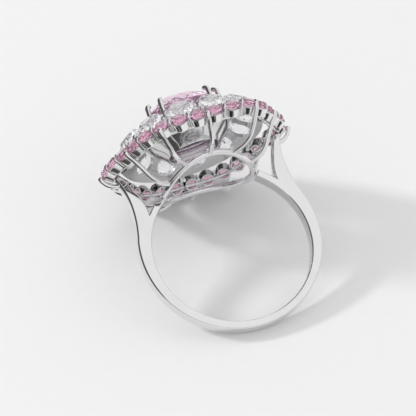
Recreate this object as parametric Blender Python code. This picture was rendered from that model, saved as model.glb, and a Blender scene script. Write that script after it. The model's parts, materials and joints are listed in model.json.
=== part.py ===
"""A cocktail ring lying on a table: a split shank, an open gallery basket, six petals of
prong-set pink stones, a pierced crown plate with a tier of clear stones, and a claw head
with a pink cushion stone. The ring is drawn upright, with the finger along Y and the head
towards +Z, and an empty then lays it down on the shank and the rear of the rim."""

import math

import bmesh
import bpy
import numpy as np
from mathutils import Matrix, Vector

MM = 0.001

# Gap left between soldered or seated pieces
SEAT_GAP = 0.03 * MM

# Shank: a flat-sided band whose shoulders split into two arms
BORE_RADIUS = 8.65 * MM
SHANK_WIDTH = 1.6 * MM
SHANK_WALL = 0.85 * MM
SHOULDER_WALL = 1.5 * MM
SHOULDER_ANGLE = math.radians(18)
SPLIT_ANGLE = math.radians(39)
INNER_ARM_WALL = 0.78 * MM
OUTER_ARM_WALL = 0.8 * MM

# Gallery: a saddle rail over the finger, with ribs fanning out to the rim
SADDLE_RADIUS = 5.2 * MM
SADDLE_WIRE = 0.36 * MM
RIB_WIRE = 0.28 * MM
RIB_HOOK = 0.2 * MM

# Centre stone and its claws
CENTRE_HALF = 4.0 * MM
CENTRE_CORNER = 3.2
CENTRE_RISE = 7.4 * MM
CENTRE_CROWN = 1.4 * MM
CENTRE_GIRDLE = 0.3 * MM
CENTRE_PAVILION = 3.4 * MM
CLAW_RADIUS = 0.32 * MM
CLAW_OVER = 0.55 * MM
CLAW_PAIR_ANGLE = math.radians(10.5)
HEAD_WIRE = 0.38 * MM

# Clear stones on the crown plate
WHITE_WIDTH = 3.2 * MM
WHITE_LENGTH = 3.4 * MM
WHITE_CORNER = 2.5
WHITE_TILT = math.radians(35)
WHITE_RISE = 5.3 * MM
WHITE_CROWN = 0.7 * MM
WHITE_GIRDLE = 0.15 * MM
WHITE_PAVILION = 1.25 * MM
WHITE_ROOM = 0.15 * MM
WHITE_SPACING = 0.25 * MM
PLATE_DROP = 0.3 * MM
PLATE_WALL = 0.45 * MM
PLATE_LIP = 0.25 * MM
WHITE_PRONG = 0.26 * MM

# Pink stones on the petals
PETALS = 6
PINK_RADIUS = 0.73 * MM
PINK_TABLE = 0.42 * MM
PINK_CROWN = 0.3 * MM
PINK_GIRDLE = 0.08 * MM
PINK_PAVILION = 0.62 * MM
PINK_SPACING = 0.05 * MM
RIM_TILT = math.radians(42)
RIM_RISE = 3.3 * MM
RIM_ROOM = 0.05 * MM
SCALLOP = 0.35 * MM
COLLET_DROP = 0.12 * MM
COLLET_WALL = 0.26 * MM
COLLET_HEIGHT = 0.9 * MM
COLLET_TAPER = 0.28 * MM
RAIL_WIRE = 0.3 * MM
PINK_PRONG = 0.24 * MM
PRONG_OVER = 0.38 * MM

# Facet counts of round forms
COLLET_SIDES = 8
PRONG_SIDES = 5
WIRE_SIDES = 6
PINK_FOLD = 8
WHITE_FOLD = 8
CENTRE_FOLD = 12


def squircle(half_x, half_y, corner, angle):
    """Radius of a rounded-rectangle outline at an angle; a corner of 2 is an ellipse."""
    x = abs(math.cos(angle)) / half_x
    y = abs(math.sin(angle)) / half_y
    return (x**corner + y**corner) ** (-1 / corner)


def polar(radius, angle, height):
    return Vector((radius * math.cos(angle), radius * math.sin(angle), height))


# Places that follow from the sizes, from the centre stone outwards
CENTRE_HEIGHT = BORE_RADIUS + CENTRE_RISE
HEAD_RADIUS = squircle(CENTRE_HALF, CENTRE_HALF, CENTRE_CORNER, math.pi / 4) + SEAT_GAP + CLAW_RADIUS
WHITE_REACH = WHITE_LENGTH / 2 * math.cos(WHITE_TILT)
WHITE_RING = HEAD_RADIUS + HEAD_WIRE + WHITE_ROOM + WHITE_REACH
WHITE_HEIGHT = BORE_RADIUS + WHITE_RISE
WHITES = math.floor(math.tau * WHITE_RING / (WHITE_WIDTH + WHITE_SPACING))
COLLET_BORE = PINK_RADIUS * (1 - COLLET_DROP / PINK_PAVILION) + SEAT_GAP
COLLET_INNER = COLLET_BORE / math.cos(math.pi / COLLET_SIDES)
COLLET_LEAST = COLLET_INNER + COLLET_WALL
PRONG_REACH = PINK_RADIUS + SEAT_GAP + PINK_PRONG
RIM_RADIUS = WHITE_RING + WHITE_REACH + RIM_ROOM + COLLET_LEAST + SCALLOP
RIM_HEIGHT = BORE_RADIUS + RIM_RISE
PETAL_ARC = math.tau / PETALS
VALLEY_ARC = PETAL_ARC * (RIM_RADIUS - SCALLOP)
PINKS = math.floor(VALLEY_ARC / (2 * COLLET_LEAST + PINK_SPACING))
PINK_STEP = PETAL_ARC / PINKS
COLLET_OUTER = (VALLEY_ARC / PINKS - PINK_SPACING) / 2
COLLET_FLAT = COLLET_OUTER * math.cos(math.pi / COLLET_SIDES)
RAIL_DEPTH = COLLET_DROP + COLLET_HEIGHT
SADDLE_ARC = BORE_RADIUS + SADDLE_WIRE + SEAT_GAP


def material(name, colour, metallic, roughness):
    made = bpy.data.materials.new(name)
    made.use_nodes = True
    shader = made.node_tree.nodes["Principled BSDF"]
    shader.inputs["Base Color"].default_value = (*colour, 1)
    shader.inputs["Metallic"].default_value = metallic
    shader.inputs["Roughness"].default_value = roughness
    return made


def place(name, mesh, finish, upright):
    """A named object in the upright ring, hung on the empty that lays it down."""
    mesh.materials.clear()
    mesh.materials.append(finish)
    thing = bpy.data.objects.new(name, mesh)
    bpy.context.scene.collection.objects.link(thing)
    thing.parent = upright
    return thing


def mesh_of(name, bm):
    bmesh.ops.recalc_face_normals(bm, faces=bm.faces)
    mesh = bpy.data.meshes.new(name)
    bm.to_mesh(mesh)
    bm.free()
    return mesh


def fused(name, body, added):
    """One closed mesh from a body and the overlapping pieces that are cast with it."""
    target = bpy.data.objects.new(name, mesh_of(name, body))
    other = bpy.data.objects.new(name + "_added", mesh_of(name + "_added", added))
    for thing in (target, other):
        bpy.context.scene.collection.objects.link(thing)
    join = target.modifiers.new("cast_together", "BOOLEAN")
    join.operation = "UNION"
    join.object = other
    join.use_self = True
    graph = bpy.context.evaluated_depsgraph_get()
    mesh = bpy.data.meshes.new_from_object(target.evaluated_get(graph))
    mesh.name = name
    for thing in (target, other):
        bpy.data.objects.remove(thing)
    return mesh


def turned(bm, profile, frame, sides):
    """A profile of (radius, height) turned about Z; one that leaves the axis free is a ring."""
    rings = []
    for radius, height in profile:
        count = sides if radius > 0 else 1
        turns = [math.tau * i / sides for i in range(count)]
        rings.append([bm.verts.new(frame @ polar(radius, turn, height)) for turn in turns])
    pairs = list(zip(rings, rings[1:]))
    if profile[0][0] > 0 and profile[-1][0] > 0:
        pairs.append((rings[-1], rings[0]))
    for low, high in pairs:
        for i in range(sides):
            j = (i + 1) % sides
            corners = [low[i % len(low)], low[j % len(low)], high[j % len(high)], high[i % len(high)]]
            bm.faces.new(list(dict.fromkeys(corners)))


def post(bm, frame, low, high, radius):
    """A round prong with a domed tip, from one height of a seat's frame to another."""
    profile = [(0, low), (radius, low), (radius, high - radius), (0.75 * radius, high - 0.3 * radius), (0, high)]
    turned(bm, profile, frame, PRONG_SIDES)


def wire(bm, route, radius, across, closed=False):
    """A round wire along a route; across gives the direction that its section keeps."""
    rings = []
    count = len(route)
    for i, point in enumerate(route):
        before = route[i - 1] if closed or i else point
        after = route[(i + 1) % count] if closed or i < count - 1 else point
        along = (after - before).normalized()
        side = across(i)
        side = (side - along * side.dot(along)).normalized()
        up = along.cross(side)
        turns = [math.tau * k / WIRE_SIDES for k in range(WIRE_SIDES)]
        rings.append([bm.verts.new(point + radius * (math.cos(t) * side + math.sin(t) * up)) for t in turns])
    pairs = list(zip(rings, rings[1:]))
    if closed:
        pairs.append((rings[-1], rings[0]))
    else:
        bm.faces.new(rings[0])
        bm.faces.new(rings[-1])
    for low, high in pairs:
        for k in range(WIRE_SIDES):
            m = (k + 1) % WIRE_SIDES
            bm.faces.new((low[k], low[m], high[m], high[k]))


def bezier(start, pull, push, end, steps):
    points = []
    for i in range(1, steps + 1):
        t = i / steps
        u = 1 - t
        points.append(u**3 * start + 3 * u * u * t * pull + 3 * u * t * t * push + t**3 * end)
    return points


def seat(ring, height, tilt, angle):
    """Frame of a stone's seat: X runs round the ring, Y outwards down the slope, Z out of the stone."""
    return (
        Matrix.Rotation(angle - math.pi / 2, 4, "Z")
        @ Matrix.Translation((0, ring, height))
        @ Matrix.Rotation(-tilt, 4, "X")
    )


def white_seat(index):
    return seat(WHITE_RING, WHITE_HEIGHT, WHITE_TILT, math.tau * (index + 0.5) / WHITES)


def pink_ring(angle):
    return RIM_RADIUS + SCALLOP * math.cos(PETALS * angle)


def pink_angle(index):
    return (index - (PINKS - 1) / 2) * PINK_STEP


def pink_seat(angle):
    return seat(pink_ring(angle), RIM_HEIGHT, RIM_TILT, angle)


def rail_point(angle):
    return pink_seat(angle) @ Vector((0, 0, -RAIL_DEPTH))


def saddle_point(angle):
    flat = SADDLE_RADIUS * math.cos(angle)
    return polar(SADDLE_RADIUS, angle, math.sqrt(SADDLE_ARC**2 - flat**2))


def rib_prong(angle, on_stone):
    """Where a rib turns up outside the collets, bends in, and ends over the stones it holds.
    It passes either the middle stone of a petal or the notch between two petals."""
    clear = COLLET_OUTER + RIB_WIRE + SEAT_GAP
    aside = 0 if on_stone else pink_ring(angle) * math.tan(PINK_STEP / 2)
    down_slope = math.sqrt(max(clear**2 - aside**2, RIB_WIRE**2))
    frame = pink_seat(angle)
    low = frame @ Vector((0, down_slope, -RAIL_DEPTH))
    bend = frame @ Vector((0, down_slope, -COLLET_DROP))
    return low, bend, frame @ Vector((0, down_slope - RIB_HOOK, PRONG_OVER))


def shank_mesh():
    """The band's side outline, extruded along the finger, with a prong on each outer arm."""
    bottom = -math.pi / 2
    arc_steps = 22
    outer = []
    for i in range(arc_steps + 1):
        share = i / arc_steps
        angle = bottom + share * (SHOULDER_ANGLE - bottom)
        wall = SHANK_WALL + (SHOULDER_WALL - SHANK_WALL) * share**2
        outer.append(Vector(((BORE_RADIUS + wall) * math.cos(angle), (BORE_RADIUS + wall) * math.sin(angle))))
    rail = rail_point(0)
    tip = Vector((rail.x, rail.z - RAIL_WIRE - SEAT_GAP))
    half = Vector((OUTER_ARM_WALL / 2, 0))
    leave = Vector((-math.sin(SHOULDER_ANGLE), math.cos(SHOULDER_ANGLE)))
    reach = (tip - outer[-1]).length / 3
    lean = Vector((0.45, 1)).normalized()
    outer += bezier(outer[-1], outer[-1] + leave * reach, tip + half - lean * reach, tip + half, 10)
    arm_radius = BORE_RADIUS + INNER_ARM_WALL
    crotch = Vector((arm_radius * math.cos(SPLIT_ANGLE), arm_radius * math.sin(SPLIT_ANGLE)))
    rise = Vector((-math.sin(SPLIT_ANGLE) * 0.2, 1)).normalized()
    inner = [tip - half]
    inner += bezier(tip - half, tip - half - lean * reach / 2, crotch + rise * reach / 2, crotch, 8)
    meet = math.acos(SADDLE_RADIUS / SADDLE_ARC)
    end = meet - math.asin((SADDLE_WIRE + SEAT_GAP) / SADDLE_ARC)
    for i in range(1, 6):
        angle = SPLIT_ANGLE + (end - SPLIT_ANGLE) * i / 5
        inner.append(Vector((arm_radius * math.cos(angle), arm_radius * math.sin(angle))))
    for i in range(29):
        angle = end + (bottom - end) * i / 28
        inner.append(Vector((BORE_RADIUS * math.cos(angle), BORE_RADIUS * math.sin(angle))))
    right = outer + inner
    left = [Vector((-p.x, p.y)) for p in reversed(right[1:-1])]
    bm = bmesh.new()
    outline = [bm.verts.new((p.x, -SHANK_WIDTH / 2, p.y)) for p in right + left]
    face = bm.faces.new(outline)
    grown = bmesh.ops.extrude_face_region(bm, geom=[face])
    moved = [v for v in grown["geom"] if isinstance(v, bmesh.types.BMVert)]
    bmesh.ops.translate(bm, vec=(0, SHANK_WIDTH, 0), verts=moved)
    prongs = bmesh.new()
    for angle in (0, math.pi):
        low, bend, top = rib_prong(angle, True)
        root = polar(tip.x, angle, tip.y - OUTER_ARM_WALL)
        wire(prongs, [root, low, bend, top], RIB_WIRE, lambda i: Vector((0, 1, 0)))
    return fused("shank", bm, prongs)


def gallery_mesh():
    """The saddle rail and the ribs that fan out from it to the underside of the rim."""
    saddle = bmesh.new()
    steps = 28
    route = [saddle_point(math.tau * i / steps) for i in range(steps)]
    wire(saddle, route, SADDLE_WIRE, lambda i: Vector((0, 0, 1)), closed=True)
    ribs = bmesh.new()
    for k in range(2 * PETALS):
        if k % PETALS == 0:
            continue
        angle = k * PETAL_ARC / 2
        out = polar(1, angle, 0)
        foot = saddle_point(angle)
        low, bend, tip = rib_prong(angle, k % 2 == 0)
        along = (bend - low).normalized()
        knee = (low - foot).length / 3
        route = [foot] + bezier(foot, foot + out * knee, low - along * knee, low, 5) + [bend, tip]
        wire(ribs, route, RIB_WIRE, lambda i: polar(1, angle + math.pi / 2, 0))
    return fused("gallery", saddle, ribs)


def petal_mesh():
    """Five collets on a curved rail, with round prongs between and beside them."""
    rail = bmesh.new()
    steps = 8
    reach = PETAL_ARC / 2 - (PINK_SPACING + SEAT_GAP) / RIM_RADIUS
    angles = [reach * (2 * i / steps - 1) for i in range(steps + 1)]
    wire(rail, [rail_point(a) for a in angles], RAIL_WIRE, lambda i: Vector((0, 0, 1)))
    added = bmesh.new()
    bottom = -COLLET_DROP - COLLET_HEIGHT
    cup = [
        (COLLET_OUTER, -COLLET_DROP),
        (COLLET_OUTER - COLLET_TAPER, bottom),
        (COLLET_INNER - COLLET_TAPER, bottom),
        (COLLET_INNER, -COLLET_DROP),
    ]
    for i in range(PINKS):
        turned(added, cup, pink_seat(pink_angle(i)), COLLET_SIDES)
    for i in range(PINKS - 1):
        middle = (pink_angle(i) + pink_angle(i + 1)) / 2
        aside = pink_ring(middle) * math.tan(PINK_STEP / 2)
        touch = COLLET_FLAT + 0.75 * PINK_PRONG
        up_slope = math.sqrt(max(touch**2 - aside**2, PINK_PRONG**2))
        for side in (-1, 1):
            frame = pink_seat(middle) @ Matrix.Translation((0, side * up_slope, 0))
            post(added, frame, bottom + RAIL_WIRE, PRONG_OVER, PINK_PRONG)
    half_step = pink_ring(PETAL_ARC / 2) * math.tan(PINK_STEP / 2)
    aside = half_step - PINK_PRONG - SEAT_GAP
    up_slope = math.sqrt(PRONG_REACH**2 - aside**2)
    for end in (-1, 1):
        frame = pink_seat(end * pink_angle(PINKS - 1)) @ Matrix.Translation((-end * aside, -up_slope, 0))
        post(added, frame, bottom + RAIL_WIRE, PRONG_OVER, PINK_PRONG)
    return fused("petal", rail, added)


def white_prong_places():
    """How far up and down the slope a prong clears the two stones it stands between."""
    half_turn = math.pi / WHITES
    edge = []
    for i in range(72):
        turn = math.tau * i / 72
        radius = squircle(WHITE_WIDTH / 2, WHITE_LENGTH / 2, WHITE_CORNER, turn)
        edge.append(Vector((radius * math.cos(turn), radius * math.sin(turn))))
    places = []
    for side in (-1, 1):
        up_slope = 0
        clear = False
        while not clear:
            up_slope += side * SEAT_GAP
            ring = WHITE_RING + up_slope * math.cos(WHITE_TILT)
            spot = Vector((ring * math.tan(half_turn), up_slope))
            clear = min((spot - p).length for p in edge) >= WHITE_PRONG + 2 * SEAT_GAP
        places.append(up_slope)
    return places


def crown_plate_mesh():
    """A sloped plate turned about the head, pierced behind each stone, with its prongs."""
    slope = Vector((math.cos(WHITE_TILT), -math.sin(WHITE_TILT)))
    normal = Vector((math.sin(WHITE_TILT), math.cos(WHITE_TILT)))
    middle = Vector((WHITE_RING, WHITE_HEIGHT))
    inside = HEAD_RADIUS + HEAD_WIRE + SEAT_GAP
    outside = pink_ring(PETAL_ARC / 2) - COLLET_OUTER - PLATE_LIP
    profile = []
    for depth, order in ((PLATE_DROP, (inside, outside)), (PLATE_DROP + PLATE_WALL, (outside, inside))):
        on_face = middle - normal * depth
        for radius in order:
            profile.append(on_face + slope * ((radius - on_face.x) / slope.x))
    plate = bmesh.new()
    turned(plate, [tuple(p) for p in profile], Matrix(), 3 * WHITES)
    prongs = bmesh.new()
    places = white_prong_places()
    for i in range(WHITES):
        for up_slope in places:
            turn = math.tau * i / WHITES
            frame = seat(WHITE_RING, WHITE_HEIGHT, WHITE_TILT, turn) @ Matrix.Translation((0, up_slope, 0))
            post(prongs, frame, -PLATE_DROP - PLATE_WALL / 2, WHITE_CROWN * 0.6, WHITE_PRONG)
    mesh = fused("crown_plate", plate, prongs)
    windows = bmesh.new()
    share = 1 - PLATE_DROP / WHITE_PAVILION
    sides = 12
    for i in range(WHITES):
        frame = white_seat(i)
        rings = []
        for height in (-PLATE_DROP + SEAT_GAP, -PLATE_DROP - 2 * PLATE_WALL):
            ring = []
            for k in range(sides):
                turn = math.tau * k / sides
                radius = squircle(WHITE_WIDTH / 2, WHITE_LENGTH / 2, WHITE_CORNER, turn) * share
                ring.append(windows.verts.new(frame @ polar((radius + SEAT_GAP) * 1.04, turn, height)))
            rings.append(ring)
        windows.faces.new(rings[0])
        windows.faces.new(rings[1])
        for k in range(sides):
            m = (k + 1) % sides
            windows.faces.new((rings[0][k], rings[0][m], rings[1][m], rings[1][k]))
    return cut("crown_plate", mesh, mesh_of("windows", windows))


def cut(name, mesh, cutter_mesh):
    target = bpy.data.objects.new(name, mesh)
    cutter = bpy.data.objects.new(name + "_cutter", cutter_mesh)
    for thing in (target, cutter):
        bpy.context.scene.collection.objects.link(thing)
    pierce = target.modifiers.new("pierced", "BOOLEAN")
    pierce.operation = "DIFFERENCE"
    pierce.object = cutter
    graph = bpy.context.evaluated_depsgraph_get()
    made = bpy.data.meshes.new_from_object(target.evaluated_get(graph))
    made.name = name
    for thing in (target, cutter):
        bpy.data.objects.remove(thing)
    return made


def centre_head_mesh():
    """A round gallery wire with pairs of claws at the stone's four corners."""
    low = WHITE_HEIGHT + (WHITE_RING - HEAD_RADIUS) * math.tan(WHITE_TILT) - PLATE_DROP - PLATE_WALL / 2
    ring = bmesh.new()
    steps = 32
    route = [polar(HEAD_RADIUS, math.tau * i / steps, low) for i in range(steps)]
    wire(ring, route, HEAD_WIRE, lambda i: Vector((0, 0, 1)), closed=True)
    claws = bmesh.new()
    for corner in range(4):
        for side in (-1, 1):
            angle = math.pi / 4 + corner * math.pi / 2 + side * CLAW_PAIR_ANGLE
            reach = squircle(CENTRE_HALF, CENTRE_HALF, CENTRE_CORNER, angle) + 3 * SEAT_GAP + CLAW_RADIUS
            foot = polar(HEAD_RADIUS, angle, low)
            girdle = polar(reach, angle, CENTRE_HEIGHT + CENTRE_GIRDLE)
            tip = polar(reach - CLAW_RADIUS / 2, angle, CENTRE_HEIGHT + CENTRE_GIRDLE + CLAW_OVER)
            route = [foot, girdle.lerp(foot, 0.4), girdle, tip]
            wire(claws, route, CLAW_RADIUS, lambda i: polar(1, angle + math.pi / 2, 0))
    return fused("centre_head", ring, claws)


def gem_mesh(name, outline, fold, crown, girdle, pavilion, table):
    """A brilliant: table, star, kite and half facets above the girdle, mains and halves below."""
    bm = bmesh.new()
    turns = [math.tau * i / (2 * fold) for i in range(2 * fold)]

    def ring(share, height, chosen):
        return [bm.verts.new(polar(outline(t) * share, t, height)) for t in chosen]

    kite = (1 + table) / 2
    top = girdle + crown
    table_ring = ring(table, top, turns[0::2])
    star_ring = ring(kite, girdle + crown * 0.56, turns[1::2])
    upper = ring(1, girdle, turns)
    lower = ring(1, 0, turns)
    main_ring = ring(0.3, -pavilion * 0.72, turns[1::2])
    culet = bm.verts.new((0, 0, -pavilion))
    bm.faces.new(table_ring)
    for k in range(fold):
        after = (k + 1) % fold
        here, half, there = 2 * k, 2 * k + 1, (2 * k + 2) % (2 * fold)
        bm.faces.new((table_ring[k], star_ring[k], table_ring[after]))
        bm.faces.new((table_ring[after], star_ring[k], upper[there]))
        bm.faces.new((table_ring[after], upper[there], star_ring[after]))
        bm.faces.new((star_ring[k], upper[here], upper[half]))
        bm.faces.new((star_ring[k], upper[half], upper[there]))
        bm.faces.new((upper[here], lower[here], lower[half], upper[half]))
        bm.faces.new((upper[half], lower[half], lower[there], upper[there]))
        bm.faces.new((lower[here], main_ring[k], lower[half]))
        bm.faces.new((lower[half], main_ring[k], lower[there]))
        bm.faces.new((main_ring[k], culet, lower[there]))
        bm.faces.new((lower[there], culet, main_ring[after]))
    return mesh_of(name, bm)


def single_cut_mesh():
    """The plain cut of very small stones: a table, eight crown facets and eight below."""
    bm = bmesh.new()
    top = PINK_GIRDLE + PINK_CROWN
    profile = [(0, top), (PINK_TABLE, top), (PINK_RADIUS, PINK_GIRDLE), (PINK_RADIUS, 0), (0, -PINK_PAVILION)]
    turned(bm, profile, Matrix(), PINK_FOLD)
    return mesh_of("pink_gem", bm)


def lay_down(things, shank, upright):
    """Leans the ring back until the shank and the rear of the rim both touch the table."""

    def points(thing):
        mesh = thing.data
        flat = np.empty(3 * len(mesh.vertices))
        mesh.vertices.foreach_get("co", flat)
        local = np.array(thing.matrix_basis)
        return flat.reshape(-1, 3) @ local[:3, :3].T + local[:3, 3]

    band = points(shank)
    head = np.concatenate([points(thing) for thing in things if thing is not shank])
    least, most = math.radians(30), math.radians(85)
    for _ in range(60):
        lean = (least + most) / 2
        down = np.array((0, -math.sin(lean), math.cos(lean)))
        if (band @ down).min() < (head @ down).min():
            least = lean
        else:
            most = lean
    turn = Matrix.Rotation(-lean, 4, "X")
    laid = np.concatenate((band, head)) @ np.array(turn.to_3x3()).T
    centre = (laid.min(axis=0) + laid.max(axis=0)) / 2
    upright.matrix_world = Matrix.Translation((-centre[0], -centre[1], -laid[:, 2].min())) @ turn
    print("lean from upright, degrees:", round(math.degrees(lean), 3))
    print("finger centre, mm:", [round(v / MM, 3) for v in upright.matrix_world.translation])


for old in list(bpy.data.objects):
    bpy.data.objects.remove(old)

metal = material("polished_white_metal", (0.82, 0.82, 0.83), 1.0, 0.08)
pink = material("pink_stone", (0.93, 0.42, 0.62), 0.0, 0.02)
clear = material("clear_stone", (0.92, 0.94, 0.96), 0.0, 0.02)

upright = bpy.data.objects.new("upright_ring", None)
bpy.context.scene.collection.objects.link(upright)

shank = place("shank", shank_mesh(), metal, upright)
things = [shank, place("gallery", gallery_mesh(), metal, upright)]

petal = petal_mesh()
for k in range(PETALS):
    things.append(place(f"petal_{k + 1}", petal, metal, upright))
    things[-1].rotation_euler.z = k * PETAL_ARC

things.append(place("crown_plate", crown_plate_mesh(), metal, upright))
things.append(place("centre_head", centre_head_mesh(), metal, upright))

pink_gem = single_cut_mesh()
for k in range(PETALS * PINKS):
    things.append(place(f"pink_stone_{k + 1:02d}", pink_gem, pink, upright))
    things[-1].matrix_basis = pink_seat(k // PINKS * PETAL_ARC + pink_angle(k % PINKS))


def white_outline(turn):
    return squircle(WHITE_WIDTH / 2, WHITE_LENGTH / 2, WHITE_CORNER, turn)


def centre_outline(turn):
    return squircle(CENTRE_HALF, CENTRE_HALF, CENTRE_CORNER, turn)


white_gem = gem_mesh("clear_gem", white_outline, WHITE_FOLD, WHITE_CROWN, WHITE_GIRDLE, WHITE_PAVILION, 0.6)
for k in range(WHITES):
    things.append(place(f"clear_stone_{k + 1:02d}", white_gem, clear, upright))
    things[-1].matrix_basis = white_seat(k)

centre_gem = gem_mesh(
    "centre_gem", centre_outline, CENTRE_FOLD, CENTRE_CROWN, CENTRE_GIRDLE, CENTRE_PAVILION, 0.6
)
things.append(place("centre_stone", centre_gem, pink, upright))
things[-1].matrix_basis = Matrix.Translation((0, 0, CENTRE_HEIGHT))

lay_down(things, shank, upright)
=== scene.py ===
"""A cocktail ring lying on a pale table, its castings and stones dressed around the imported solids."""

import json
import math

import bpy
from mathutils import Matrix, Vector


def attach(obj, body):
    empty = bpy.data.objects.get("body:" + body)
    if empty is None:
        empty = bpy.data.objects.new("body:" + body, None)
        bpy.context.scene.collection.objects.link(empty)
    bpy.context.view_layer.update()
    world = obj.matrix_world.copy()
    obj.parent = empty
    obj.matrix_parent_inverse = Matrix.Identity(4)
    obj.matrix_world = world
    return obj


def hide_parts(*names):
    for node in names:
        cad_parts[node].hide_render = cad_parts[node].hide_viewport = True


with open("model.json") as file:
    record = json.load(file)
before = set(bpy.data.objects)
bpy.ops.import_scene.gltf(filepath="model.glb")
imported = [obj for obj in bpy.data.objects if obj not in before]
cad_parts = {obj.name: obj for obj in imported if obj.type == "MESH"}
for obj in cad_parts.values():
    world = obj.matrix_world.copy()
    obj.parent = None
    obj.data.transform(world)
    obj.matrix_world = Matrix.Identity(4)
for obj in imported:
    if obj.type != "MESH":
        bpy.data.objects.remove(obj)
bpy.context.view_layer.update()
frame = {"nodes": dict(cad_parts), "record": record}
bpy.ops.object.select_all(action="DESELECT")

# Shank: one band of white metal round the finger, cast with flat sides, rounded edges and a mirror polish.
# Its shoulders thicken and split in two: the inner arm ends at the saddle rail over the finger, and the
# outer arm runs up under the rim, where it carries one of the rim's prongs.
MM = 0.001
SOLDER_GAP = 0.03 * MM
FINGER_RADIUS = 8.65 * MM
MOUNT_DROP = 0.42 * MM
BAND_WIDTH = 1.6 * MM
BAND_WALL = 0.85 * MM
BAND_EDGE = 0.16 * MM
EDGE_ROUNDS = 3
SHOULDER_WALL = 1.5 * MM
SHOULDER_ANGLE = math.radians(18)
SPLIT_ANGLE = math.radians(39)
INNER_ARM = 0.78 * MM
OUTER_ARM = 0.8 * MM
ARM_LEAN = Vector((0.45, 1)).normalized()
CROTCH_LEAN = 0.2
BAND_STEPS = 90
OUTER_ARM_STEPS = 30
CROTCH_STEPS = 24
INNER_ARM_STEPS = 15
BORE_STEPS = 110
BORE_MARGIN = BAND_EDGE / 4
BORE_SLOPE = 0.3
SADDLE_RADIUS = 5.2 * MM
SADDLE_WIRE = 0.36 * MM
SADDLE_ARC = FINGER_RADIUS + SADDLE_WIRE + SOLDER_GAP
PETALS = 6
PETAL_ARC = math.tau / PETALS
RIM_RADIUS = 9.55 * MM
RIM_HEIGHT = FINGER_RADIUS + 3.3 * MM
RIM_TILT = math.radians(42)
SCALLOP = 0.35 * MM
COLLET_RADIUS = 0.938 * MM
COLLET_DROP = 0.12 * MM
COLLET_HEIGHT = 0.9 * MM
RAIL_DEPTH = COLLET_DROP + COLLET_HEIGHT
RAIL_WIRE = 0.3 * MM
PINKS = 5
PINK_STEP = PETAL_ARC / PINKS
RIB_WIRE = 0.26 * MM
RIB_HOOK = 0.24 * MM
RIB_BEAD = 0.2
PRONG_OVER = 0.44 * MM
SMOOTH_ANGLE = math.radians(40)

mounts = {mount["name"]: Vector(mount["pos_m"]) for mount in frame["record"]["mounts"]}
finger_axis = (mounts["shank_rear_side"] - mounts["shank_front_side"]).normalized()
head_axis = Vector((1, 0, 0)).cross(finger_axis)
band_foot = (mounts["shank_front_side"] + mounts["shank_rear_side"]) / 2
finger_centre = band_foot + head_axis * (FINGER_RADIUS + MOUNT_DROP)
lay = Matrix((Vector((1, 0, 0)), finger_axis, head_axis)).transposed().to_4x4()
lay.translation = finger_centre


class Tone:
    """A shader value that plain arithmetic works on: each operation adds its Math node."""

    def __init__(self, tree, socket=None):
        self.tree = tree
        self.socket = socket

    def node(self, kind, settings, sockets, out=0):
        """Any other node: its settings first, then the values or links of its sockets."""
        made = self.tree.nodes.new(kind)
        for name, value in settings.items():
            if name == "stops":
                for _ in value[2:]:
                    made.color_ramp.elements.new(1.0)
                for stop, (place, colour) in zip(made.color_ramp.elements, value):
                    stop.position = place
                    stop.color = colour
            else:
                setattr(made, name, value)
        for key, value in sockets.items():
            if isinstance(value, Tone):
                self.tree.links.new(value.socket, made.inputs[key])
            else:
                made.inputs[key].default_value = value
        return Tone(self.tree, made.outputs[out])

    def mixed(self, first, second):
        """Two colours mixed by this value, through the Mix node's colour sockets."""
        return self.node("ShaderNodeMix", {"data_type": "RGBA"}, {0: self, 6: first, 7: second}, out=2)

    def maths(self, operation, first, second):
        return self.node("ShaderNodeMath", {"operation": operation}, {0: first, 1: second})

    def __add__(self, other):
        return self.maths("ADD", self, other)

    __radd__ = __add__

    def __mul__(self, other):
        return self.maths("MULTIPLY", self, other)

    __rmul__ = __mul__

    def __rsub__(self, other):
        return self.maths("SUBTRACT", other, self)


def new_finish(name, constants):
    """A material, its shader with the constant sockets set, and a Tone to start from."""
    made = bpy.data.materials.new(name)
    made.use_nodes = True
    shader = made.node_tree.nodes["Principled BSDF"]
    for socket, value in constants.items():
        shader.inputs[socket].default_value = value
    return made, shader, Tone(made.node_tree)


def feed(shader, socket, tone):
    tone.tree.links.new(tone.socket, shader.inputs[socket])


WEAR_SCALE = 420.0
WEAR_GAIN = 2.0
GRAIN_SCALE = 2600.0
GRAIN_STRETCH = (1.0, 4.0, 1.0)
GRAIN_DEPTH = 0.01 * MM


def metal_finish(name, bright, worn, shine, dull, grain, metallic=1.0):
    """White metal: faint clouds of wear in colour and polish, and the fine grain of the wheel."""
    made, shader, start = new_finish(name, {"Metallic": metallic})
    place = start.node("ShaderNodeTexCoord", {}, {}, out="Object")
    cloud = start.node("ShaderNodeTexNoise", {}, {"Vector": place, "Scale": WEAR_SCALE, "Detail": 3.0})
    stretched = start.node("ShaderNodeMapping", {}, {"Vector": place, "Scale": GRAIN_STRETCH})
    streak = start.node("ShaderNodeTexNoise", {}, {"Vector": stretched, "Scale": GRAIN_SCALE, "Detail": 4.0})
    feed(shader, "Base Color", cloud.mixed((*bright, 1), (*worn, 1)))
    feed(shader, "Roughness", shine + (dull - shine) * (cloud * streak) * WEAR_GAIN)
    relief = {"Strength": grain, "Distance": GRAIN_DEPTH, "Height": streak}
    feed(shader, "Normal", start.node("ShaderNodeBump", {}, relief))
    return made


def polar(radius, angle, height):
    return Vector((radius * math.cos(angle), radius * math.sin(angle), height))


def on_arc(radius, angle):
    return Vector((radius * math.cos(angle), radius * math.sin(angle)))


def seat(ring, height, tilt, angle):
    """Frame of a stone's seat: X runs round the ring, Y outwards down the slope, Z out of the stone."""
    turn = Matrix.Rotation(angle - math.pi / 2, 4, "Z")
    return turn @ Matrix.Translation((0, ring, height)) @ Matrix.Rotation(-tilt, 4, "X")


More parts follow.
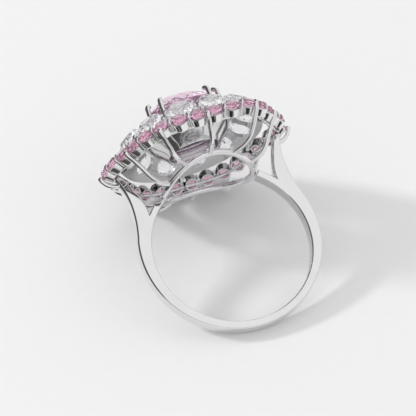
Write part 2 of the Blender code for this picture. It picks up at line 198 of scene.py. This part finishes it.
def rim_ring(angle):
    return RIM_RADIUS + SCALLOP * math.cos(PETALS * angle)


def rim_seat(angle):
    return seat(rim_ring(angle), RIM_HEIGHT, RIM_TILT, angle)


def rim_prong(angle, on_stone):
    """Where a rib turns up outside the collets, bends in and ends over the stones: its low, bend and tip."""
    clear = COLLET_RADIUS + RIB_WIRE + SOLDER_GAP
    aside = 0 if on_stone else rim_ring(angle) * math.tan(PINK_STEP / 2)
    down_slope = math.sqrt(max(clear**2 - aside**2, RIB_WIRE**2))
    places = ((down_slope, -RAIL_DEPTH), (down_slope, -COLLET_DROP), (down_slope - RIB_HOOK, PRONG_OVER))
    return [rim_seat(angle) @ Vector((0, y, z)) for y, z in places]


def bezier(start, pull, push, end, steps):
    """The points of a smooth curve after its start."""
    points = []
    for i in range(1, steps + 1):
        t = i / steps
        u = 1 - t
        points.append(u**3 * start + 3 * u * u * t * pull + 3 * u * t * t * push + t**3 * end)
    return points


WIRE_STEPS = 7
WIRE_ROUNDS = 3
BEAD_START = 0.6
BEAD_END = 0.1
BEAD_NARROW = 0.85
TIP_REACH = 0.3
TIP_SIZE = 0.2


def drawn_wire(route, radius, closed=False, bead=0.0):
    """A round wire bent smoothly through the route, with a domed end or a bead where it stops."""
    bpy.ops.object.select_all(action="DESELECT")
    bpy.ops.curve.primitive_bezier_curve_add()
    shape = bpy.context.object.data
    spline = shape.splines[0]
    places = [(point, 1.0) for point in route]
    if not closed:
        end = route[-1]
        along = (end - route[-2]).normalized() * radius
        size = 1 + bead
        places[-1] = (end - along * BEAD_START * size, size)
        places.append((end - along * BEAD_END * size, BEAD_NARROW * size))
        places.append((end + along * TIP_REACH, TIP_SIZE))
    spline.bezier_points.add(len(places) - 2)
    for point, (place, share) in zip(spline.bezier_points, places):
        point.co = place
        point.radius = share
        point.handle_left_type = point.handle_right_type = "AUTO"
    spline.use_cyclic_u = closed
    shape.resolution_u = WIRE_STEPS
    shape.bevel_depth = radius
    shape.bevel_resolution = WIRE_ROUNDS
    shape.use_fill_caps = not closed
    bpy.ops.object.convert(target="MESH")
    return bpy.context.object


def copied(piece, place):
    twin = piece.copy()
    twin.data = piece.data.copy()
    bpy.context.collection.objects.link(twin)
    twin.matrix_world = place @ piece.matrix_world
    return twin


def joined(pieces, finish=None):
    """Shaped pieces as one mesh, with the finish on those that have none of their own."""
    bpy.ops.object.select_all(action="DESELECT")
    for piece in pieces:
        if finish and not piece.data.materials:
            piece.data.materials.append(finish)
        piece.select_set(True)
    bpy.context.view_layer.objects.active = pieces[0]
    if len(pieces) > 1:
        bpy.ops.object.join()
    return bpy.context.object


def settle(name, pieces, finish, node):
    """Joins the shaped pieces of one casting, lays it on the table and sets it in its node's place."""
    made = joined(pieces, finish)
    made.name = name
    made.matrix_world = lay @ made.matrix_world
    bpy.ops.object.transform_apply(location=True, rotation=True, scale=True)
    bpy.ops.object.shade_smooth_by_angle(angle=SMOOTH_ANGLE)
    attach(made, "root")
    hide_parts(node)


mirror_metal = metal_finish(
    "mirror_white_metal", (0.90, 0.895, 0.905), (0.82, 0.815, 0.83), shine=0.02, dull=0.08, grain=0.04
)
# Bore of the band: its darker colour is painted shade inside the finger hole; its rougher polish is a satin
# finish.
bore_painted_shade = metal_finish(
    "bore_painted_shade_metal", (0.74, 0.74, 0.74), (0.62, 0.62, 0.63), shine=0.1, dull=0.25, grain=0.1
)

bottom = -math.pi / 2
outer_edge = []
for i in range(BAND_STEPS + 1):
    share = i / BAND_STEPS
    angle = bottom + share * (SHOULDER_ANGLE - bottom)
    outer_edge.append(on_arc(FINGER_RADIUS + BAND_WALL + (SHOULDER_WALL - BAND_WALL) * share**2, angle))
shoulder = outer_edge[-1]
rail_end = rim_seat(0) @ Vector((0, 0, -RAIL_DEPTH))
arm_tip = Vector((rail_end.x, rail_end.z - RAIL_WIRE - SOLDER_GAP))
half_arm = Vector((OUTER_ARM / 2, 0))
arm_outside = arm_tip + half_arm
arm_inside = arm_tip - half_arm
leave = Vector((-math.sin(SHOULDER_ANGLE), math.cos(SHOULDER_ANGLE)))
reach = (arm_tip - shoulder).length / 3
outer_edge += bezier(
    shoulder, shoulder + leave * reach, arm_outside - ARM_LEAN * reach, arm_outside, OUTER_ARM_STEPS
)
inner_arm_radius = FINGER_RADIUS + INNER_ARM
crotch = on_arc(inner_arm_radius, SPLIT_ANGLE)
rise = Vector((-math.sin(SPLIT_ANGLE) * CROTCH_LEAN, 1)).normalized()
inner_edge = [arm_inside]
inner_edge += bezier(
    arm_inside, arm_inside - ARM_LEAN * reach / 2, crotch + rise * reach / 2, crotch, CROTCH_STEPS
)
saddle_meet = math.acos(SADDLE_RADIUS / SADDLE_ARC)
arm_end = saddle_meet - math.asin((SADDLE_WIRE + SOLDER_GAP) / SADDLE_ARC)
for i in range(1, INNER_ARM_STEPS + 1):
    inner_edge.append(on_arc(inner_arm_radius, SPLIT_ANGLE + (arm_end - SPLIT_ANGLE) * i / INNER_ARM_STEPS))
for i in range(BORE_STEPS + 1):
    inner_edge.append(on_arc(FINGER_RADIUS, arm_end + (bottom - arm_end) * i / BORE_STEPS))
right_half = outer_edge + inner_edge
outline = right_half + [Vector((-p.x, p.y)) for p in reversed(right_half[1:-1])]

bpy.ops.curve.primitive_bezier_circle_add()
band = bpy.context.object
band.data.splines.clear()
band_outline = band.data.splines.new("POLY")
band_outline.points.add(len(outline) - 1)
for point, place in zip(band_outline.points, outline):
    point.co = (place.x, place.y, 0, 1)
band_outline.use_cyclic_u = True
band.data.dimensions = "2D"
band.data.fill_mode = "BOTH"
band.data.extrude = BAND_WIDTH / 2 - BAND_EDGE
band.data.bevel_depth = BAND_EDGE
band.data.bevel_resolution = EDGE_ROUNDS
band.data.offset = -BAND_EDGE
bpy.ops.object.convert(target="MESH")
band = bpy.context.object
band.data.materials.append(mirror_metal)
band.data.materials.append(bore_painted_shade)
# Faces of the bore take the darker painted shade.
for face in band.data.polygons:
    at_bore = abs(face.center.xy.length - FINGER_RADIUS) < BORE_MARGIN
    face.material_index = 1 if at_bore and abs(face.normal.z) < BORE_SLOPE else 0
band.matrix_world = Matrix.Rotation(math.pi / 2, 4, "X")
band_pieces = [band]
for angle in (0, math.pi):
    root = polar(arm_tip.x, angle, arm_tip.y - OUTER_ARM)
    band_pieces.append(drawn_wire([root, *rim_prong(angle, True)], RIB_WIRE, bead=RIB_BEAD))
settle("shank_band", band_pieces, mirror_metal, "shank")

# Gallery: an open basket of round wire, cast in one piece and soldered to the inner arms of the shank.
# A saddle rail follows the finger, and ribs fan out from it, turn up outside the rim and end as prongs.
SADDLE_POINTS = 24
RIB_BOW = 0.5
RIB_STEPS = 5


def saddle_point(angle):
    across = SADDLE_RADIUS * math.cos(angle)
    return polar(SADDLE_RADIUS, angle, math.sqrt(SADDLE_ARC**2 - across**2))


saddle = [saddle_point(math.tau * i / SADDLE_POINTS) for i in range(SADDLE_POINTS)]
basket = [drawn_wire(saddle, SADDLE_WIRE, closed=True)]
for k in range(2 * PETALS):
    if k % PETALS:
        angle = k * PETAL_ARC / 2
        foot = saddle_point(angle)
        low, bend, tip = rim_prong(angle, k % 2 == 0)
        knee = (low - foot).length * RIB_BOW
        climb = (bend - low).normalized()
        sweep = bezier(foot, foot + polar(knee, angle, 0), low - climb * knee, low, RIB_STEPS)
        basket.append(drawn_wire([foot, *sweep, bend, tip], RIB_WIRE, bead=RIB_BEAD))
settle("gallery_basket", basket, mirror_metal, "gallery")

# Petals: six cast strips soldered round the rim, each a curved rail that carries five tapered collets.
# The collet walls are cut with slots, and hooked wire prongs between them close over the pink stones.
COLLET_SIDES = 24
COLLET_TAPER = 0.16 * MM
COLLET_WALL = 0.2 * MM
COLLET_LIP = 0.14 * MM
COLLET_FOOT = 0.14 * MM
COLLET_BEVEL = 0.03 * MM
COLLET_BEVEL_ANGLE = math.radians(50)
COLLET_FLAT = 0.924
BACK_SLOPE = 0.25
WALL_SLOPE = 0.6
SLOT_FRAME = 0.04 * MM
SLOT_DEPTH = 0.1 * MM
SLOT_SPACING = 12
SLOT_SIDES = (2, 3)
STRIP_WIRE = 0.2 * MM
STRIP_GAP = 0.08 * MM
STRIP_STEPS = 6
PINK_RADIUS = 0.73 * MM
PINK_PRONG = 0.19 * MM
PRONG_CLEAR = 0.18 * MM
END_PRONG_CLEAR = 0.27 * MM
PRONG_HOOK = 0.24 * MM
collet_metal = metal_finish(
    "collet_white_metal", (0.92, 0.92, 0.91), (0.82, 0.82, 0.81), shine=0.04, dull=0.15, grain=0.1
)
# Collet slots: their near-black colour is painted shade in the sunken slots.
slot_painted_shade = metal_finish(
    "slot_painted_shade_metal", (0.03, 0.03, 0.03), (0.08, 0.08, 0.08), shine=0.4, dull=0.6, grain=0.2
)
# Inner faces of the collets: their dark grey colour is painted shade inside the enclosed head.
inside_painted_shade = metal_finish(
    "inside_painted_shade_metal", (0.42, 0.42, 0.42), (0.28, 0.28, 0.29), shine=0.1, dull=0.25, grain=0.2
)


def turned(sides, radius, height, rings, fill="NOTHING"):
    """A shape as from the lathe: its top ring, and then rings that each lie a drop below the last."""
    bpy.ops.object.select_all(action="DESELECT")
    bpy.ops.mesh.primitive_circle_add(vertices=sides, radius=radius, fill_type=fill, location=(0, 0, height))
    bpy.ops.object.mode_set(mode="EDIT")
    for next_radius, drop in rings:
        bpy.ops.mesh.extrude_region_move(TRANSFORM_OT_translate={"value": (0, 0, -drop)})
        bpy.ops.transform.resize(value=(next_radius / radius, next_radius / radius, 1))
        radius = next_radius
    bpy.ops.mesh.select_all(action="SELECT")
    bpy.ops.mesh.normals_make_consistent(inside=False)
    bpy.ops.object.mode_set(mode="OBJECT")
    return bpy.context.object


def thicken(piece, thickness, side):
    """Gives the active sheet its wall: inwards, both ways or outwards for a side of -1, 0 or 1."""
    wall = piece.modifiers.new("wall", "SOLIDIFY")
    wall.thickness = thickness
    wall.offset = side
    bpy.ops.object.modifier_apply(modifier="wall")


collet_rings = []
ring_radius = COLLET_RADIUS
for drop in (COLLET_LIP, COLLET_HEIGHT - COLLET_LIP - COLLET_FOOT, COLLET_FOOT):
    ring_radius -= COLLET_TAPER * drop / COLLET_HEIGHT
    collet_rings.append((ring_radius, drop))
collet = turned(COLLET_SIDES, COLLET_RADIUS, -COLLET_DROP, collet_rings)
thicken(collet, COLLET_WALL, -1)
for finish in (collet_metal, slot_painted_shade, inside_painted_shade):
    collet.data.materials.append(finish)
# Faces turned in towards the head take the painted shade.
for face in collet.data.polygons:
    if face.normal.y < -BACK_SLOPE:
        face.material_index = 2
bpy.ops.object.mode_set(mode="EDIT")
bpy.ops.mesh.select_mode(type="FACE")
bpy.ops.mesh.select_all(action="DESELECT")
bpy.ops.object.mode_set(mode="OBJECT")
for face in collet.data.polygons:
    depth = -face.center.z - COLLET_DROP
    in_wall = COLLET_LIP < depth < COLLET_HEIGHT - COLLET_FOOT
    faces_out = face.normal.xy.dot(face.center.xy) > 0 and abs(face.normal.z) < WALL_SLOPE
    turn = math.floor(math.atan2(face.center.y, face.center.x) / math.tau * COLLET_SIDES) % COLLET_SIDES
    face.select = faces_out and in_wall and turn % SLOT_SPACING in SLOT_SIDES
bpy.ops.object.mode_set(mode="EDIT")
bpy.ops.mesh.inset(thickness=SLOT_FRAME, depth=-SLOT_DEPTH)
# The sunken slot faces take the near-black painted shade.
collet.active_material_index = 1
bpy.ops.object.material_slot_assign()
bpy.ops.mesh.select_mode(type="VERT")
bpy.ops.object.mode_set(mode="OBJECT")
soft = collet.modifiers.new("edges", "BEVEL")
soft.width = COLLET_BEVEL
soft.segments = 2
soft.limit_method = "ANGLE"
soft.angle_limit = COLLET_BEVEL_ANGLE
bpy.ops.object.modifier_apply(modifier="edges")

rail_reach = PETAL_ARC / 2 - STRIP_GAP / RIM_RADIUS
rail_angles = [rail_reach * (i / STRIP_STEPS - 1) for i in range(2 * STRIP_STEPS + 1)]
strip = [drawn_wire([rim_seat(a) @ Vector((0, 0, -RAIL_DEPTH)) for a in rail_angles], STRIP_WIRE)]
pink_angles = [(i - (PINKS - 1) / 2) * PINK_STEP for i in range(PINKS)]
for angle in pink_angles:
    strip.append(copied(collet, rim_seat(angle)))
bpy.data.objects.remove(collet)
prong_spots = []
for first, second in zip(pink_angles, pink_angles[1:]):
    middle = (first + second) / 2
    aside = rim_ring(middle) * math.tan(PINK_STEP / 2)
    touch = COLLET_RADIUS * COLLET_FLAT + PRONG_CLEAR
    up_slope = math.sqrt(max(touch**2 - aside**2, PINK_PRONG**2))
    prong_spots += [(middle, 0, up_slope), (middle, 0, -up_slope)]
end_aside = rim_ring(PETAL_ARC / 2) * math.tan(PINK_STEP / 2) - END_PRONG_CLEAR
end_slope = math.sqrt((PINK_RADIUS + END_PRONG_CLEAR) ** 2 - end_aside**2)
prong_spots += [(pink_angles[-1], -end_aside, -end_slope), (pink_angles[0], end_aside, -end_slope)]
for angle, aside, up_slope in prong_spots:
    inwards = -PRONG_HOOK if up_slope > 0 else PRONG_HOOK
    places = (
        (up_slope, -RAIL_DEPTH + RAIL_WIRE / 2),
        (up_slope, -COLLET_DROP),
        (up_slope, PRONG_OVER / 2),
        (up_slope + inwards / 3, PRONG_OVER),
        (up_slope + inwards, PRONG_OVER + PRONG_HOOK / 3),
    )
    strip.append(drawn_wire([rim_seat(angle) @ Vector((aside, y, z)) for y, z in places], PINK_PRONG))
petal = joined(strip, mirror_metal)
for k in reversed(range(PETALS)):
    turn = Matrix.Rotation(k * PETAL_ARC, 4, "Z")
    settle(f"petal_strip_{k + 1}", [copied(petal, turn) if k else petal], mirror_metal, f"petal_{k + 1}")

# Pink stones: thirty small round stones of single cut, with a flat table and eight facets above and below
# the girdle. Each rests in its collet, and the hooked prongs close over its edge.
STONE_SIDES = 8
STONE_RADIUS = 0.84 * MM
STONE_TABLE = 0.5 * MM
STONE_CROWN = 0.42 * MM
STONE_GIRDLE = 0.16 * MM
STONE_PAVILION = 0.62 * MM
STONE_POINT = 0.05 * MM
STONE_RINGS = ((STONE_RADIUS, STONE_CROWN), (STONE_RADIUS, STONE_GIRDLE), (STONE_POINT, STONE_PAVILION))
DRIFT_SCALE = 900.0
STONE_SHINE = 0.01
STONE_WEAR = 0.03


def stone_finish(name, pale, deep, bend, clearness, facet, sparkle):
    """A cut stone: a clear body with slow drifts of colour, and small facets that each lean their own way."""
    made, shader, start = new_finish(name, {"Transmission Weight": clearness, "IOR": bend})
    place = start.node("ShaderNodeTexCoord", {}, {}, out="Object")
    drift = start.node("ShaderNodeTexNoise", {}, {"Vector": place, "Scale": DRIFT_SCALE, "Detail": 2.0})
    cells = start.node("ShaderNodeTexVoronoi", {}, {"Vector": place, "Scale": 1 / facet}, out="Color")
    flat = start.node("ShaderNodeNewGeometry", {}, {}, out="Normal")
    lean = start.node(
        "ShaderNodeVectorMath",
        {"operation": "MULTIPLY_ADD"},
        {0: cells, 1: (sparkle, sparkle, sparkle), 2: (-sparkle / 2, -sparkle / 2, -sparkle / 2)},
    )
    leaning = start.node("ShaderNodeVectorMath", {"operation": "ADD"}, {0: flat, 1: lean})
    feed(shader, "Normal", start.node("ShaderNodeVectorMath", {"operation": "NORMALIZE"}, {0: leaning}))
    feed(shader, "Base Color", drift.mixed((*pale, 1), (*deep, 1)))
    feed(shader, "Roughness", STONE_SHINE + drift * STONE_WEAR)
    return made


def set_stone(name, stone, place, node):
    """A copy of a cut stone, laid down with the ring into its seat."""
    bpy.ops.object.select_all(action="DESELECT")
    made = copied(stone, lay @ place)
    made.name = name
    made.select_set(True)
    bpy.context.view_layer.objects.active = made
    bpy.ops.object.transform_apply(location=True, rotation=True, scale=True)
    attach(made, "root")
    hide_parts(node)


small_pink = stone_finish(
    "small_pink_stone", (1.0, 0.80, 0.90), (0.97, 0.54, 0.75),
    bend=1.55, clearness=0.88, facet=0.4 * MM, sparkle=0.15,
)
small_stone = turned(STONE_SIDES, STONE_TABLE, STONE_GIRDLE + STONE_CROWN, STONE_RINGS, fill="NGON")
small_stone.data.materials.append(small_pink)
for k in range(PETALS * PINKS):
    place = rim_seat(k // PINKS * PETAL_ARC + pink_angles[k % PINKS])
    set_stone(f"small_pink_{k + 1:02d}", small_stone, place, f"pink_stone_{k + 1:02d}")
bpy.data.objects.remove(small_stone)

# Crown plate: a sloped ring of white metal, cast with a cup under the centre stone, pierced with a window
# behind each clear stone, frosted on top and polished below. Round prongs stand on it in pairs between the
# stones, and its inner edge is soldered to the claw head.
WHITES = 12
WHITE_RING = 6.828 * MM
WHITE_HEIGHT = FINGER_RADIUS + 5.3 * MM
WHITE_TILT = math.radians(35)
WHITE_HALF = Vector((1.6, 1.7)) * MM
WHITE_PRONG = 0.24 * MM
WHITE_PRONG_OVER = 0.42 * MM
WHITE_PRONG_BEAD = 0.15
WHITE_PRONG_SPOTS = (-1.47 * MM, 0.97 * MM)
HEAD_RADIUS = 4.905 * MM
HEAD_WIRE = 0.38 * MM
PLATE_SIDES = 12 * WHITES
PLATE_DROP = 0.3 * MM
PLATE_WALL = 0.45 * MM
PLATE_INSIDE = HEAD_RADIUS + HEAD_WIRE + SOLDER_GAP
PLATE_LAP = 0.05 * MM
PLATE_OUTSIDE = RIM_RADIUS - SCALLOP - COLLET_RADIUS + PLATE_LAP
TOP_SLOPE = 0.3
WINDOW_SIDES = 40
WINDOW_SHARE = 0.79
WINDOW_DEPTH = 3 * MM
CUP_SIDES = 96
CUP_WALL = 0.3 * MM
CUP_RINGS = ((4.9 * MM, 0.7 * MM), (4.2 * MM, 0.8 * MM), (3.2 * MM, 0.8 * MM), (2.9 * MM, 0.5 * MM))
under_metal = metal_finish(
    "under_white_metal", (0.82, 0.82, 0.82), (0.62, 0.62, 0.63), shine=0.06, dull=0.16, grain=0.15
)
cup_metal = metal_finish(
    "cup_white_metal", (0.82, 0.82, 0.82), (0.62, 0.62, 0.63), shine=0.04, dull=0.12, grain=0.15
)
frosted_metal = metal_finish(
    "frosted_white_metal", (0.88, 0.875, 0.885), (0.80, 0.795, 0.81),
    shine=0.25, dull=0.4, grain=0.2, metallic=0.5,
)


def white_seat(turns):
    return seat(WHITE_RING, WHITE_HEIGHT, WHITE_TILT, math.tau * turns / WHITES)


fall = math.tan(WHITE_TILT)
face_height = WHITE_HEIGHT + WHITE_RING * fall - PLATE_DROP / math.cos(WHITE_TILT)
plate_top = face_height - PLATE_INSIDE * fall
plate = turned(
    PLATE_SIDES, PLATE_INSIDE, plate_top, [(PLATE_OUTSIDE, (PLATE_OUTSIDE - PLATE_INSIDE) * fall)]
)
thicken(plate, PLATE_WALL, -1 if plate.data.polygons[0].normal.z > 0 else 1)

bpy.ops.object.select_all(action="DESELECT")
bpy.ops.mesh.primitive_cylinder_add(
    vertices=WINDOW_SIDES, radius=1, depth=WINDOW_DEPTH, location=(0, 0, -PLATE_DROP)
)
window = bpy.context.object
window.scale = (WHITE_HALF.x * WINDOW_SHARE, WHITE_HALF.y * WINDOW_SHARE, 1)
bpy.ops.object.transform_apply(location=True, rotation=True, scale=True)
cutter = joined([copied(window, white_seat(i + 0.5)) for i in range(WHITES)])
bpy.data.objects.remove(window)
pierced = plate.modifiers.new("pierced", "BOOLEAN")
pierced.operation = "DIFFERENCE"
pierced.object = cutter
bpy.ops.object.select_all(action="DESELECT")
plate.select_set(True)
bpy.context.view_layer.objects.active = plate
bpy.ops.object.modifier_apply(modifier="pierced")
bpy.data.objects.remove(cutter)
plate.data.materials.append(under_metal)
plate.data.materials.append(frosted_metal)
for face in plate.data.polygons:
    face.material_index = 1 if face.normal.z > TOP_SLOPE else 0

cup = turned(CUP_SIDES, PLATE_INSIDE + PLATE_WALL / 2, plate_top - PLATE_WALL / 2, CUP_RINGS)
thicken(cup, CUP_WALL, 0)
cup.data.materials.append(cup_metal)
plate_pieces = [plate, cup]
for i in range(WHITES):
    for up_slope in WHITE_PRONG_SPOTS:
        heights = (-PLATE_DROP - PLATE_WALL / 2, 0, WHITE_PRONG_OVER)
        route = [white_seat(i) @ Vector((0, up_slope, height)) for height in heights]
        plate_pieces.append(drawn_wire(route, WHITE_PRONG, bead=WHITE_PRONG_BEAD))
settle("crown_plate_pierced", plate_pieces, mirror_metal, "crown_plate")

# Clear stones: a tier of twelve faceted cushions of clear stone with a faint lilac cast, cut and polished.
# They sit shoulder to shoulder over the windows of the crown plate, held by its round prongs.
clear_white = stone_finish(
    "clear_white_stone", (1.0, 0.995, 1.0), (0.985, 0.975, 1.0),
    bend=1.5, clearness=0.93, facet=0.45 * MM, sparkle=0.3,
)


def dress(solid, finish):
    """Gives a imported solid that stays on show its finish."""
    solid.data.materials.clear()
    solid.data.materials.append(finish)


for name, node in frame["nodes"].items():
    if name.startswith("clear_stone"):
        dress(node, clear_white)

# Claw head: a round gallery wire with four pairs of wire claws, soldered inside the crown plate.
# Each claw leans out to the corner of the centre stone and is bent over its crown with a rounded end.
CENTRE_HEIGHT = FINGER_RADIUS + 7.4 * MM
CENTRE_HALF = 4.0 * MM
CENTRE_CORNER = 3.2
CENTRE_GIRDLE = 0.3 * MM
HEAD_POINTS = 24
CLAW_WIRE = 0.28 * MM
CLAW_CLEAR = 0.41 * MM
CLAW_OVER = 0.8 * MM
CLAW_HOOK = 0.5 * MM
CLAW_BEAD = 0.1
CLAW_BELLY = 0.4
CLAW_PAIR_ANGLE = math.radians(10.5)
KNUCKLE_RISE = 0.65
KNUCKLE_LEAN = 0.2
head_low = WHITE_HEIGHT + (WHITE_RING - HEAD_RADIUS) * fall - PLATE_DROP - PLATE_WALL / 2
head_ring = [polar(HEAD_RADIUS, math.tau * i / HEAD_POINTS, head_low) for i in range(HEAD_POINTS)]
head_pieces = [drawn_wire(head_ring, HEAD_WIRE, closed=True)]
for corner in range(4):
    for side in (-1, 1):
        angle = math.pi / 4 + corner * math.pi / 2 + side * CLAW_PAIR_ANGLE
        roundness = abs(math.cos(angle)) ** CENTRE_CORNER + abs(math.sin(angle)) ** CENTRE_CORNER
        stand_off = CENTRE_HALF * roundness ** (-1 / CENTRE_CORNER) + CLAW_CLEAR
        foot = polar(HEAD_RADIUS, angle, head_low)
        girdle = polar(stand_off, angle, CENTRE_HEIGHT + CENTRE_GIRDLE)
        lean = polar(CLAW_HOOK * KNUCKLE_LEAN, angle, 0)
        knuckle = girdle + Vector((0, 0, CLAW_OVER * KNUCKLE_RISE)) - lean
        tip = girdle + Vector((0, 0, CLAW_OVER)) - polar(CLAW_HOOK, angle, 0)
        route = [foot, girdle.lerp(foot, CLAW_BELLY), girdle, knuckle, tip]
        head_pieces.append(drawn_wire(route, CLAW_WIRE, bead=CLAW_BEAD))
settle("claw_head", head_pieces, mirror_metal, "centre_head")

# Centre stone: one large cushion brilliant of pale pink stone, cut and polished with a flat table.
# It stands above the clear stones, with its girdle held by the four pairs of claws.
pale_pink = stone_finish(
    "pale_pink_stone", (1.0, 0.80, 0.93), (0.98, 0.64, 0.87),
    bend=1.6, clearness=0.93, facet=0.9 * MM, sparkle=0.04,
)
dress(frame["nodes"]["centre_stone"], pale_pink)

# Table: one wide sheet of pale matt paper with a fine fibre, laid flat under the ring.
# Beyond the ring's left side it is dark for mirror reflections alone, a painted dark reflection in the metal
# as if black card lay there.
TABLE_SIDE = 3.0
PALE_PAPER = (0.88, 0.88, 0.88, 1)
DEEP_PAPER = (0.86, 0.86, 0.86, 1)
PAINTED_DARK_REFLECTION = (0.06, 0.06, 0.06, 1)
DARK_REFLECTION_NEAR = 13 * MM
DARK_REFLECTION_FAR = 16 * MM
FIBRE_SCALE = 900.0


def ray_kinds(start):
    """Masks of the rays that come from a mirror of metal, and of those that have passed through a stone."""
    in_stone = start.node("ShaderNodeLightPath", {}, {}, out="Is Transmission Ray")
    in_metal = start.node("ShaderNodeLightPath", {}, {}, out="Is Glossy Ray") * (1.0 - in_stone)
    return in_metal, in_stone


def ramped(tone, low, high):
    """A soft step from 0 at the low value to 1 at the high one."""
    limits = {"Value": tone, "From Min": low, "From Max": high}
    return tone.node("ShaderNodeMapRange", {"interpolation_type": "SMOOTHSTEP"}, limits)


bpy.ops.object.select_all(action="DESELECT")
bpy.ops.mesh.primitive_plane_add(size=TABLE_SIDE)
table = bpy.context.object
table.name = "table_top"
paper, paper_shader, start = new_finish("table_paper", {"Roughness": 0.7, "Specular IOR Level": 0.2})
place = start.node("ShaderNodeTexCoord", {}, {}, out="Object")
fibre = start.node("ShaderNodeTexNoise", {}, {"Vector": place, "Scale": FIBRE_SCALE, "Detail": 3.0})
aside = start.node("ShaderNodeSeparateXYZ", {}, {"Vector": place}, out="X")
in_metal, _ = ray_kinds(start)
# Painted dark reflection: the table turns dark only where the metal mirrors it.
painted_dark_reflection = ramped(aside, -DARK_REFLECTION_NEAR, -DARK_REFLECTION_FAR) * in_metal
feed(paper_shader, "Base Color", painted_dark_reflection.mixed(fibre.mixed(PALE_PAPER, DEEP_PAPER), PAINTED_DARK_REFLECTION))
table.data.materials.append(paper)

# Studio light: one soft lamp on the left and a little behind throws the shadow to the right, in a pale room.
# The lamp stays out of the metal, which mirrors a dark wall behind the left shoulder instead, so that crisp
# dark lines stand beside its white faces. Through the stones the room is plain white.
LAMP_AZIMUTH = math.radians(149)
LAMP_ELEVATION = math.radians(31)
LAMP_DISTANCE = 1.2
LAMP_POWER = 5.8
LAMP_SIZE = 0.16
WALL_GREYS = ((0.0, 0.5), (0.1, 0.55), (0.3, 0.72), (0.5, 0.8), (0.8, 0.88))
DARK_WALL_WAY = Vector((-0.7, 0.5, 0.5)).normalized()
DARK_WALL_EDGE = (0.54, 0.62)
DARK_WALL_DEPTH = 0.88
WHITE = (1.0, 1.0, 1.0, 1.0)
lamp_way = polar(math.cos(LAMP_ELEVATION), LAMP_AZIMUTH, math.sin(LAMP_ELEVATION))
bpy.ops.object.light_add(type="AREA", location=lamp_way * LAMP_DISTANCE)
lamp = bpy.context.object
lamp.data.energy = LAMP_POWER
lamp.data.size = LAMP_SIZE
lamp.rotation_mode = "QUATERNION"
lamp.rotation_quaternion = (-lamp_way).to_track_quat("-Z", "Y")
lamp.visible_glossy = False
room = bpy.data.worlds.new("white_room")
room.use_nodes = True
background = room.node_tree.nodes["Background"]
start = Tone(room.node_tree)
way = start.node("ShaderNodeTexCoord", {}, {}, out="Generated")
up = start.node("ShaderNodeSeparateXYZ", {}, {"Vector": way}, out="Z")
stops = [(place, (grey, grey, grey, 1)) for place, grey in WALL_GREYS]
walls = start.node("ShaderNodeValToRGB", {"stops": stops}, {"Fac": up})
towards = start.node(
    "ShaderNodeVectorMath", {"operation": "DOT_PRODUCT"}, {0: way, 1: DARK_WALL_WAY}, out="Value"
)
in_metal, in_stone = ray_kinds(start)
dark_wall = ramped(towards, *DARK_WALL_EDGE) * in_metal
feed(background, "Color", in_stone.mixed(walls, WHITE))
feed(background, "Strength", 1.0 - DARK_WALL_DEPTH * dark_wall)
bpy.context.scene.world = room
bpy.context.scene.view_settings.view_transform = "Standard"

# Camera: a long lens at the photograph's viewing angle, above and a little to the left of the finger hole.
# The centre of the finger hole falls on its pixel of the picture, at the scale of the picture.
CAMERA_AZIMUTH = math.radians(21.8)
CAMERA_ELEVATION = math.radians(44.5)
CAMERA_DISTANCE = 300 * MM
SENSOR_WIDTH = 36
NEAREST = 0.01
FURTHEST = 10
PICTURE_SIDE = 416
PIXELS_PER_MM = 9.36
FINGER_PIXEL = Vector((231.3, 247.4))
level = math.cos(CAMERA_ELEVATION)
drop = math.sin(CAMERA_ELEVATION)
forward = Vector((math.sin(CAMERA_AZIMUTH) * level, math.cos(CAMERA_AZIMUTH) * level, -drop))
rightward = Vector((math.cos(CAMERA_AZIMUTH), -math.sin(CAMERA_AZIMUTH), 0))
upward = rightward.cross(forward)
off_centre = (FINGER_PIXEL - Vector((PICTURE_SIDE / 2, PICTURE_SIDE / 2))) * MM / PIXELS_PER_MM
aim = finger_centre - rightward * off_centre.x + upward * off_centre.y
bpy.ops.object.camera_add(location=aim - forward * CAMERA_DISTANCE)
camera = bpy.context.object
camera.rotation_mode = "QUATERNION"
camera.rotation_quaternion = forward.to_track_quat("-Z", "Y")
camera.data.sensor_width = SENSOR_WIDTH
camera.data.lens = PIXELS_PER_MM * CAMERA_DISTANCE / MM * SENSOR_WIDTH / PICTURE_SIDE
camera.data.clip_start = NEAREST
camera.data.clip_end = FURTHEST
bpy.context.scene.camera = camera
